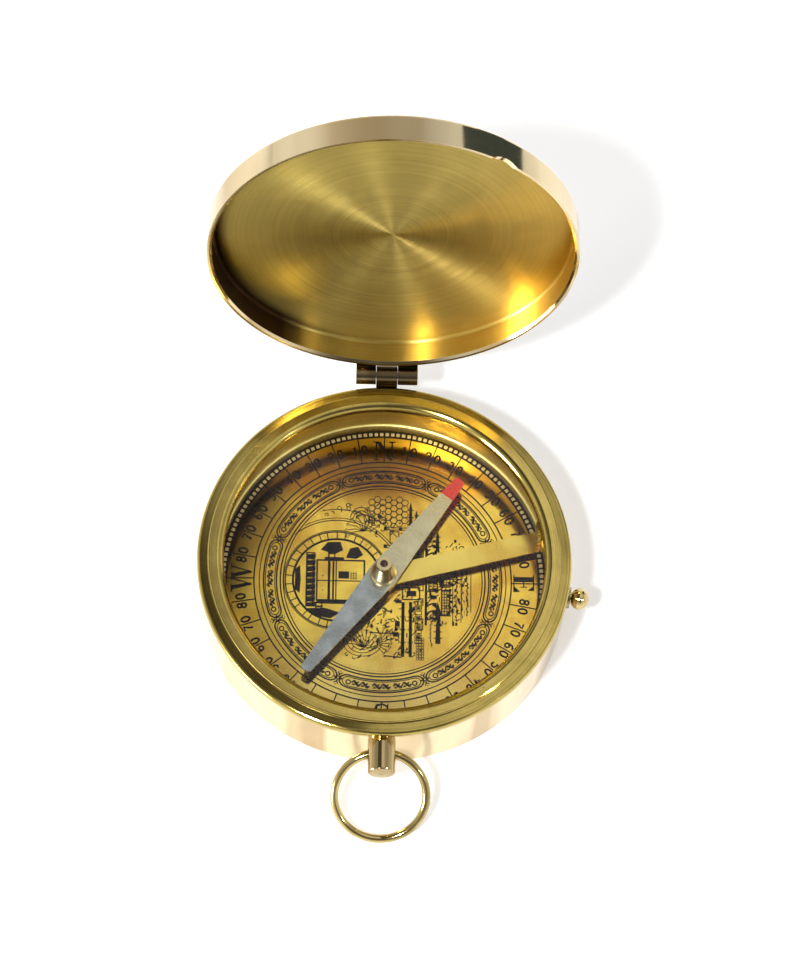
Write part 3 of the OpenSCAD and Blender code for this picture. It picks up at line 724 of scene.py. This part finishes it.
def border_print():
    """Eight frames with vines in them, a rosette between each two, and the picture's edge."""
    pr = Print(INK_LOW, INK_HIGH, 1.9)
    pr.circle(0, 0, BORDER_EDGE, 0.16, 200)
    pr.circle(0, 0, PICTURE_EDGE, 0.12, 200)
    for i in range(150):
        pr.dot(*polar(PICTURE_DOTS_R, i * 2.4), 0.09, 5)
    for mid in range(0, 360, 45):
        for inset, width in ((0.0, 0.17), (0.36, 0.1)):
            pr.stroke(cartouche(mid, inset), width, True)
        for part in (-1, 0, 1):
            b = mid + part * 10.6
            pr.at(*polar(BORDER_R, b), b)
            vine(pr, 3.7, 0.56, 2, 0.15)
            if part:
                pr.circle(part * 2.55, 0, 0.46, 0.14, 12)
        pr.at(*polar(BORDER_R, mid + 22.5), mid + 22.5)
        rosette(pr)
        pr.at()
    pr.piece("dial_border_print", ink)


def arcade(pr, x, y0, y1, width, n):
    """A column of arches opening towards -x, on a dark band."""
    pitch = (y1 - y0) / n
    for i in range(n):
        y = y0 + pitch * (i + 0.5)
        pr.box(x, y - pitch * 0.5, x + width * 0.2, y + pitch * 0.5)
        pr.box(x + width * 0.2, y + pitch * 0.3, x + width, y + pitch * 0.5)
        pr.box(x + width * 0.2, y - pitch * 0.5, x + width, y - pitch * 0.3)
        pr.arc(x + width * 0.72, y, pitch * 0.26, 0, 180, 0.12, 6)


def house(pr, x, y, w, h, floors, bays, domed):
    """A front drawn lying on its side, with a dome or battlements towards +x."""
    pr.frame(x, y - w / 2, x + h, y + w / 2, 0.16)
    for i in range(1, floors):
        pr.line(x + h * i / floors, y - w / 2, x + h * i / floors, y + w / 2, 0.12)
    for i in range(floors):
        for j in range(bays):
            cx, cy = x + h * (i + 0.45) / floors, y - w / 2 + w * (j + 0.5) / bays
            high, wide = h * 0.24 / floors, w * 0.22 / bays
            pr.box(cx - high, cy - wide, cx + high, cy + wide)
    if domed:
        pr.arc(x + h, y, w * 0.42, 0, 180, 0.18, 14)
        for s in (-0.2, 0.0, 0.2):
            pr.line(x + h, y + s * w, x + h + w * 0.36, y + s * w * 0.5, 0.1)
        pr.line(x + h + w * 0.4, y, x + h + w * 0.7, y, 0.2)
    else:
        for j in range(bays + 1):
            cy = y - w / 2 + w * j / bays
            pr.box(x + h, cy - 0.12, x + h + 0.35, cy + 0.12)


def tower(pr, x, y, length, width):
    """A slender tower lying along y, with bands and a pointed end."""
    shoulder, shoulder_y = width * 0.36, y + length * 0.8
    pr.poly([(x - width / 2, y), (x + width / 2, y), (x + shoulder, shoulder_y), (x, y + length),
             (x - shoulder, shoulder_y)])
    for t in (0.2, 0.45, 0.7):
        pr.box(x - width * 0.8, y + length * t, x + width * 0.8, y + length * t + 0.22)


def ornament_row(pr, x, y0, y1, width):
    """A row of small hooks and dots, along y."""
    y = y0
    while y < y1:
        step = rng.uniform(0.5, 1.0)
        hook = (x + rng.uniform(-0.35, 0.35), y + step * 0.4)
        pr.stroke([(x, y), hook, (x, y + step * 0.8)], width)
        if rng.random() < 0.45:
            pr.dot(x + rng.choice((-0.5, 0.5)), y + step * 0.5, 0.1, 5)
        y += step


def fan(pr, x, y, r, a0, a1, rays, width):
    """A spray of bent rays with curled tips."""
    for i in range(rays):
        a = a0 + (a1 - a0) * i / (rays - 1)
        dx, dy = polar(r, a)
        bend = (x + dx * 0.5 + dy * 0.12, y + dy * 0.5 - dx * 0.12)
        pr.stroke([(x, y), bend, (x + dx, y + dy)], width)
        pr.arc(x + dx, y + dy, r * 0.1, a - 90, a + 90, width, 6)


def inside_dial(x, y, r):
    return x * x + y * y < r * r


def clutter(pr, x0, x1, y0, y1, count):
    """Small blocks, dashes and hooks over a patch, as etched detail."""
    for _ in range(count):
        x, y = rng.uniform(x0, x1), rng.uniform(y0, y1)
        kind, w, h = rng.random(), rng.uniform(0.08, 0.26), rng.uniform(0.14, 0.5)
        a = rng.uniform(0, 360)
        if not inside_dial(x, y, 18.3) or math.hypot(x - YARD_X, y) < YARD_CLEAR:
            continue
        if kind < 0.4:
            pr.box(x - w, y - h, x + w, y + h)
        elif kind < 0.7:
            pr.line(x - w * 2, y - h, x + w * 2, y + h, 0.12)
        else:
            pr.arc(x, y, h, a, a + 220, 0.1, 7)


def courtyard(pr):
    """A ring of bricks round a building with arcades and trees."""
    cx = YARD_X
    for r, w in ((YARD_OUTER, 0.16), (YARD_INNER, 0.26), (YARD_OUTER + 0.3, 0.1)):
        pr.circle(cx, 0, r, w, 90)
    bricks = 34
    for k in range(bricks):
        a = k * 360 / bricks + rng.uniform(-1.5, 1.5)
        x0, y0 = polar(YARD_INNER, a)
        x1, y1 = polar(YARD_OUTER, a)
        pr.line(cx + x0, y0, cx + x1, y1, 0.12)
    for _ in range(70):
        a = rng.uniform(0, 360)
        x0, y0 = polar(rng.uniform(9.3, 10.4), a)
        pr.dot(cx + x0, y0, 0.09, 5)
    arcade(pr, cx - 6.4, -6.0, 6.0, 1.9, 9)
    arcade(pr, cx - 1.9, 4.7, 8.3, 1.6, 3)
    arcade(pr, cx - 4.4, -8.0, -4.9, 1.6, 3)
    for k in range(9):
        y = -5.7 + k * 1.33
        pr.poly([(cx - 4.4, y - 0.2), (cx - 4.4, y + 0.75), (cx - 6.2, y + 0.55), (cx - 6.2, y)])
    pr.poly([(cx - 8.6, -2.2), (cx - 7.6, -3.1), (cx - 7.4, 0.0), (cx - 7.6, 3.1), (cx - 8.6, 2.2)])
    pr.frame(cx - 4.1, -4.5, cx + 5.6, 4.3, 0.2)
    pr.line(cx - 4.1, -0.2, cx + 5.6, -0.2, 0.13)
    pr.box(cx - 1.9, -4.5, cx - 1.35, 4.3)
    pr.line(cx - 0.75, -4.5, cx - 0.75, 4.3, 0.22)
    pr.box(cx - 0.3, -4.5, cx - 0.05, 4.3)
    pr.box(cx - 4.1, -5.3, cx + 4.6, -4.5)
    pr.box(cx - 2.6, 4.4, cx + 1.4, 5.0)
    pr.poly([(cx - 6.6, -6.4), (cx - 2.4, -6.2), (cx + 0.8, -7.2), (cx - 1.2, -8.5),
             (cx - 4.6, -7.9)])
    pr.poly([(cx - 3.4, 6.6), (cx - 0.6, 5.6), (cx + 1.2, 6.6), (cx + 0.6, 8.4), (cx - 2.0, 8.3)])
    pr.box(cx + 0.3, 0.3, cx + 2.5, 1.9)
    for t in (0.3, 0.7, 1.1, 1.5):
        pr.line(cx + 2.7, t, cx + 4.1, t, 0.07)
    for t in (2.9, 3.4, 3.9):
        pr.line(cx + t, 0.1, cx + t, 1.9, 0.07)
    for x, y in ((-2.9, 0.9), (-2.9, -2.3), (3.6, -2.6)):
        pr.dot(cx + x, y, 0.14)
    pr.poly([(cx + 1.8, 4.9), (cx + 3.9, 4.7), (cx + 5.3, 5.6), (cx + 4.3, 7.4), (cx + 2.6, 7.0)])


def paved_court(pr):
    """Arcs and sprays outside the ring's north side, and hexagon paving."""
    cx = YARD_X
    for r, a0, a1, w in ((13.2, -42, 68, 0.12), (13.7, -30, 60, 0.09), (15.6, -12, 52, 0.1)):
        pr.arc(cx, 0, r, a0, a1, w)
    for _ in range(26):
        x, y = polar(rng.uniform(13.9, 17.0), rng.uniform(-22, 44))
        if inside_dial(cx + x, y, 18.6):
            r, a0, a1 = rng.uniform(0.25, 0.55), rng.uniform(0, 360), rng.uniform(380, 560)
            pr.arc(cx + x, y, r, a0, a1, 0.11, 8)
    fan(pr, -4.2, 10.9, 3.3, -110, 70, 9, 0.1)
    for r in (1.1, 1.7, 2.3):
        pr.arc(-4.6, 13.2, r, -80, 110, 0.1, squash=1.3)
    for i in range(-3, 4):
        for j in range(-2, 3):
            hx, hy = 1.0 + i * 1.14, 15.4 + j * 1.32 + (i % 2) * 0.66
            if inside_dial(hx, hy, 18.4):
                corners = [k * math.pi / 3 for k in range(6)]
                pr.stroke([(hx + 0.72 * math.cos(a), hy + 0.72 * math.sin(a)) for a in corners],
                          0.1, True)


def middle_front(pr):
    """Posts, plots and a tall gate up the middle."""
    tower(pr, 5.6, 11.2, 6.4, 0.8)
    tower(pr, 6.8, 11.4, 4.4, 0.6)
    for y in (11.3, 7.4):
        pr.line(0.3, y, 6.6, y, 0.1)
        pr.line(0.3, y + 0.5, 6.6, y + 0.5, 0.1)
        pr.box(0.1, y - 0.15, 0.8, y + 0.65)
        pr.box(3.2, y - 0.15, 3.9, y + 0.65)
    pr.frame(1.4, 8.4, 3.2, 10.9, 0.12)
    for k in range(7):
        y = 9.9 - k * 0.75
        pr.box(4.1 + (k % 2) * 0.3, y, 5.0 + (k % 2) * 0.4, y + 0.5)
    house(pr, 4.6, 5.2, 4.2, 2.6, 3, 6, domed=False)
    pr.frame(4.1, -4.0, 7.6, -1.4, 0.16)
    pr.box(4.9, -3.3, 6.9, -2.1)
    pr.line(4.1, -0.7, 8.2, -0.7, 0.1)
    for x, w in ((4.2, 0.75), (5.75, 0.7)):
        tower(pr, x, -15.8, 11.2, w)
        pr.box(x - 0.3, -16.6, x + 0.35, -4.6)
    for k in range(9):
        y = -5.2 - k * 1.05
        pr.frame(6.7, y, 8.0, y + 0.75, 0.1)
        if k % 2:
            pr.box(6.9, y + 0.15, 7.8, y + 0.6)
    for k in range(8):
        for j in range(3):
            pr.frame(7.0 + j * 0.55, -17.2 + k * 0.62, 7.45 + j * 0.55, -16.75 + k * 0.62, 0.07)
    for y, w, d in ((6.2, 1.2, 0.9), (4.2, 0.8, 1.3), (2.4, 1.4, 0.8), (-1.0, 0.9, 1.0),
                    (-4.5, 1.3, 0.7), (-9.4, 1.0, 1.2)):
        pr.box(2.6, y - d / 2, 2.6 + w, y + d / 2)
        pr.frame(7.3, y - d, 8.3, y + d, 0.12)
    for k in range(11):
        y = -8.6 + k * 1.6
        pr.box(10.2, y, 11.1, y + 0.8)
        pr.line(9.3, y + 0.2, 10.2, y + 0.6, 0.2)
        pr.dot(13.6 + 0.25 * (k % 3), y * 0.8, 0.34)


def east_front(pr):
    """The front on the right: a wall, domes, towers and rows of ornament."""
    pr.line(8.9, -9.6, 8.9, 9.0, 0.28)
    for y, w in ((-7.6, 1.1), (-5.0, 0.7), (6.5, 0.9)):
        pr.poly([(8.7, y - w), (9.5, y - w * 0.7), (9.2, y), (9.6, y + w * 0.6), (8.7, y + w)])
    house(pr, 9.5, -0.6, 3.0, 1.7, 2, 4, domed=True)
    house(pr, 11.9, 5.0, 2.6, 1.9, 2, 4, domed=False)
    house(pr, 12.1, -4.6, 5.6, 1.6, 3, 9, domed=False)
    house(pr, 11.8, 0.6, 3.4, 2.0, 3, 5, domed=True)
    tower(pr, 11.4, -13.6, 5.6, 1.1)
    tower(pr, 11.2, 6.6, 4.6, 0.8)
    pr.poly([(10.6, -7.2), (11.5, -9.2), (12.1, -7.0), (11.3, -4.4)])
    ornament_row(pr, 10.0, -14.2, -8.0, 0.14)
    ornament_row(pr, 9.9, 8.6, 13.6, 0.14)
    ornament_row(pr, 15.2, -8.6, 8.0, 0.16)
    ornament_row(pr, 17.3, -7.4, 5.6, 0.16)
    ornament_row(pr, 16.3, -7.9, 7.0, 0.1)
    for x, h in ((14.4, 9.6), (16.1, 8.8), (18.1, 6.6)):
        pr.line(x, -h, x, h * 0.8, 0.1)


def garden(pr):
    """Sprays of leaves, round beds and twigs at the south."""
    fan(pr, -4.2, -14.6, 3.6, -80, 80, 11, 0.09)
    fan(pr, -1.2, -13.2, 3.0, 30, 150, 8, 0.09)
    for r in (1.3, 2.2, 3.1, 4.0):
        pr.arc(-4.0, -13.4, r, 70, 290, 0.09, squash=0.8)
    for _ in range(34):
        x, y = rng.uniform(-8, 3.4), rng.uniform(-11.5, -5.6)
        if (x - YARD_X) ** 2 + y * y > YARD_CLEAR ** 2:
            pr.stroke([(x, y), (x + rng.uniform(-1, 1), y + rng.uniform(-0.9, 0.9)),
                       (x + rng.uniform(-1, 1), y + rng.uniform(-0.9, 0.9))], 0.12)
    pr.line(-2.6, -11.4, 3.8, -11.6, 0.14)
    pr.line(0.4, -16.4, 4.0, -16.7, 0.16)
    pr.box(2.2, -12.2, 3.4, -11.2)


def picture_print():
    """The dial's picture, laid out with its top to the east. It shows no real place."""
    pr = Print(INK_LOW, INK_HIGH, 1.75)
    courtyard(pr)
    paved_court(pr)
    middle_front(pr)
    east_front(pr)
    garden(pr)
    clutter(pr, 2.4, 8.4, -16.5, 8.5, 90)
    clutter(pr, 9.2, 17.4, -9.5, 9.5, 130)
    clutter(pr, -7.5, 3.0, -17.0, -6.5, 60)
    clutter(pr, -5.0, 5.0, 10.0, 17.0, 26)
    pr.piece("dial_scene_print", ink)


scale_print()
bead_print()
border_print()
picture_print()


# ---------------------------------------------------------------- the needle's red end
def red_tip():
    """A thin closed coat round the last few millimetres of the needle."""
    coat, length, nose = 0.02 * MM, 4.7 * MM, 0.6 * MM
    root_half, root_y, neck_half, nose_half = 2.8 * MM, 3.1 * MM, 1.15 * MM, 0.77 * MM
    lo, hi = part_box("needle_blade")
    reach = max(v.co.dot(NEEDLE_ALONG) for v in nodes["needle_blade"].data.vertices)
    neck_y = reach - nose
    start = reach - length

    def half_width(y):
        """Half the coat's width at y: the blade's straight taper, and the coat's thickness."""
        return root_half + (neck_half - root_half) * (y - root_y) / (neck_y - root_y) + coat

    rows = [(y, half_width(y)) for y in (start, (start + neck_y) / 2, neck_y)]
    rows.append((reach + coat, nose_half))
    verts, faces = [], []
    for z in (hi.z + coat, lo.z - coat):
        for y, half in rows:
            for side in (-1, 1):
                p = NEEDLE_ALONG * y + NEEDLE_ACROSS * (side * half)
                verts.append((p.x, p.y, z))
    n = 2 * len(rows)
    for a in range(0, n - 2, 2):
        faces.append([a, a + 1, a + 3, a + 2])
        faces.append([n + a + 2, n + a + 3, n + a + 1, n + a])
        faces.append([a + 2, n + a + 2, n + a, a])
        faces.append([a + 1, n + a + 1, n + a + 3, a + 3])
    faces.append([0, n, n + 1, 1])
    faces.append([n - 2, n - 1, 2 * n - 1, 2 * n - 2])
    red = lacquer("needle_red", *RED, rough=0.28, grain=1800.0, coat=0.3)
    o = add_object("needle_red_tip", verts, faces, red)
    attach(o, "needle")


red_tip()


# ---------------------------------------------------------------- floor, world and lights
def rectangle(w, h, z=0.0):
    """The corners of a flat rectangle about the origin, and its one face."""
    corners = [(-w / 2, -h / 2, z), (w / 2, -h / 2, z), (w / 2, h / 2, z), (-w / 2, h / 2, z)]
    return corners, [(0, 1, 2, 3)]


def floor():
    """Pale paper, a tenth of a millimetre under the case."""
    m = Mat("floor_paper")
    grain = m.noise(m.coords, scale=900.0, detail=3.0, rough=0.5)
    tone = m.mix(grain, (0.9, 0.9, 0.905), (0.93, 0.93, 0.935))
    m.done(m.shader(tone, 0.6, metal=0.0, normal=m.bump(grain, 2 * UM), Emission_Color=(1, 1, 1, 1),
                    Emission_Strength=0.2))
    o = add_object("floor", *rectangle(6.0, 6.0, -0.1 * MM), m.material, closed=False)


def aim(o, direction, far, front):
    """Puts the object far metres away in a direction, its front axis towards the compass."""
    o.location = Vector(direction).normalized() * far
    o.rotation_euler = (-o.location).to_track_quat(front, "Y").to_euler()


def card(name, direction, far, size, power):
    """A rectangular soft light."""
    data = bpy.data.lights.new(name, "AREA")
    data.shape = "RECTANGLE"
    data.size, data.size_y = size
    data.energy = power
    o = bpy.data.objects.new(name, data)
    bpy.context.scene.collection.objects.link(o)
    aim(o, direction, far, "-Z")


def flag(name, direction, far, size, tone):
    """A dark panel that only the polished metal sees."""
    m = Mat(name)
    cloud = m.noise(m.coords, scale=3.0, detail=3.0, rough=0.6)
    m.done(m.shader(m.mix(cloud, tone, tuple(c * 2.2 for c in tone)), 0.8, metal=0.0))
    o = add_object(name, *rectangle(*size), m.material, closed=False)
    aim(o, direction, far, "Z")
    o.visible_camera = o.visible_diffuse = o.visible_shadow = False


def world():
    """A studio for the metal to mirror: bright round the horizon and dimmer overhead, with a dim
    patch high at the front, and dark high up in the west."""
    brightness = ((0.0, 0.95), (0.3, 0.95), (0.62, 0.55), (0.82, 0.6), (0.91, 1.05), (1.0, 0.8))
    patch_at = Vector((0.1, -0.62, 0.78)).normalized()
    patch_edge, patch_core = math.cos(math.radians(36)), math.cos(math.radians(14))
    studio = bpy.data.worlds.new("studio")
    bpy.context.scene.world = studio
    studio.use_nodes = True
    m = Nodes(studio.node_tree)
    toward = m.node("ShaderNodeTexCoord").outputs["Generated"]
    x, _, z = m.split(toward)
    ramp = m.node("ShaderNodeValToRGB")
    m.link(z, ramp.inputs["Fac"])
    stops = ramp.color_ramp.elements
    for place, stop in ((0, stops[0]), (-1, stops[-1])):
        stop.position, value = brightness[place]
        stop.color = rgba((value,) * 3)
    for position, value in brightness[1:-1]:
        stops.new(position).color = rgba((value,) * 3)
    patch = m.remap(m.vec("DOT_PRODUCT", toward, patch_at), (patch_edge, patch_core), (1.0, 0.22),
                    "SMOOTHSTEP")
    sky = m.mix(1.0, ramp.outputs["Color"], patch, blend="MULTIPLY")
    west = m.remap(x, (-0.022, 0.013), (0.92, 0.0), "SMOOTHSTEP")
    high = m.remap(z, (0.75, 0.86), (0.0, 1.0), "SMOOTHSTEP")
    sky = m.mix(m.math("MULTIPLY", west, high), sky, (0.03, 0.02, 0.012))
    background = m.node("ShaderNodeBackground")
    m.link(sky, background.inputs["Color"])
    m.link(background.outputs[0], m.node("ShaderNodeOutputWorld").inputs["Surface"])


camera()
floor()
world()
card("left_softbox", (-0.87, -0.47, 0.14), far=1.3, size=(0.5, 0.26), power=19.0)
card("camera_lamp", (-0.285, -0.4, 0.87), far=1.5, size=(0.13, 0.13), power=13.0)
card("right_lamp", (0.648, -0.453, 0.612), far=1.5, size=(0.1, 0.1), power=4.0)
flag("dark_flag", (0.64, 0.62, 0.14), far=1.5, size=(0.75, 1.1), tone=(0.012, 0.02, 0.022))
bpy.context.scene.view_settings.view_transform = "Standard"
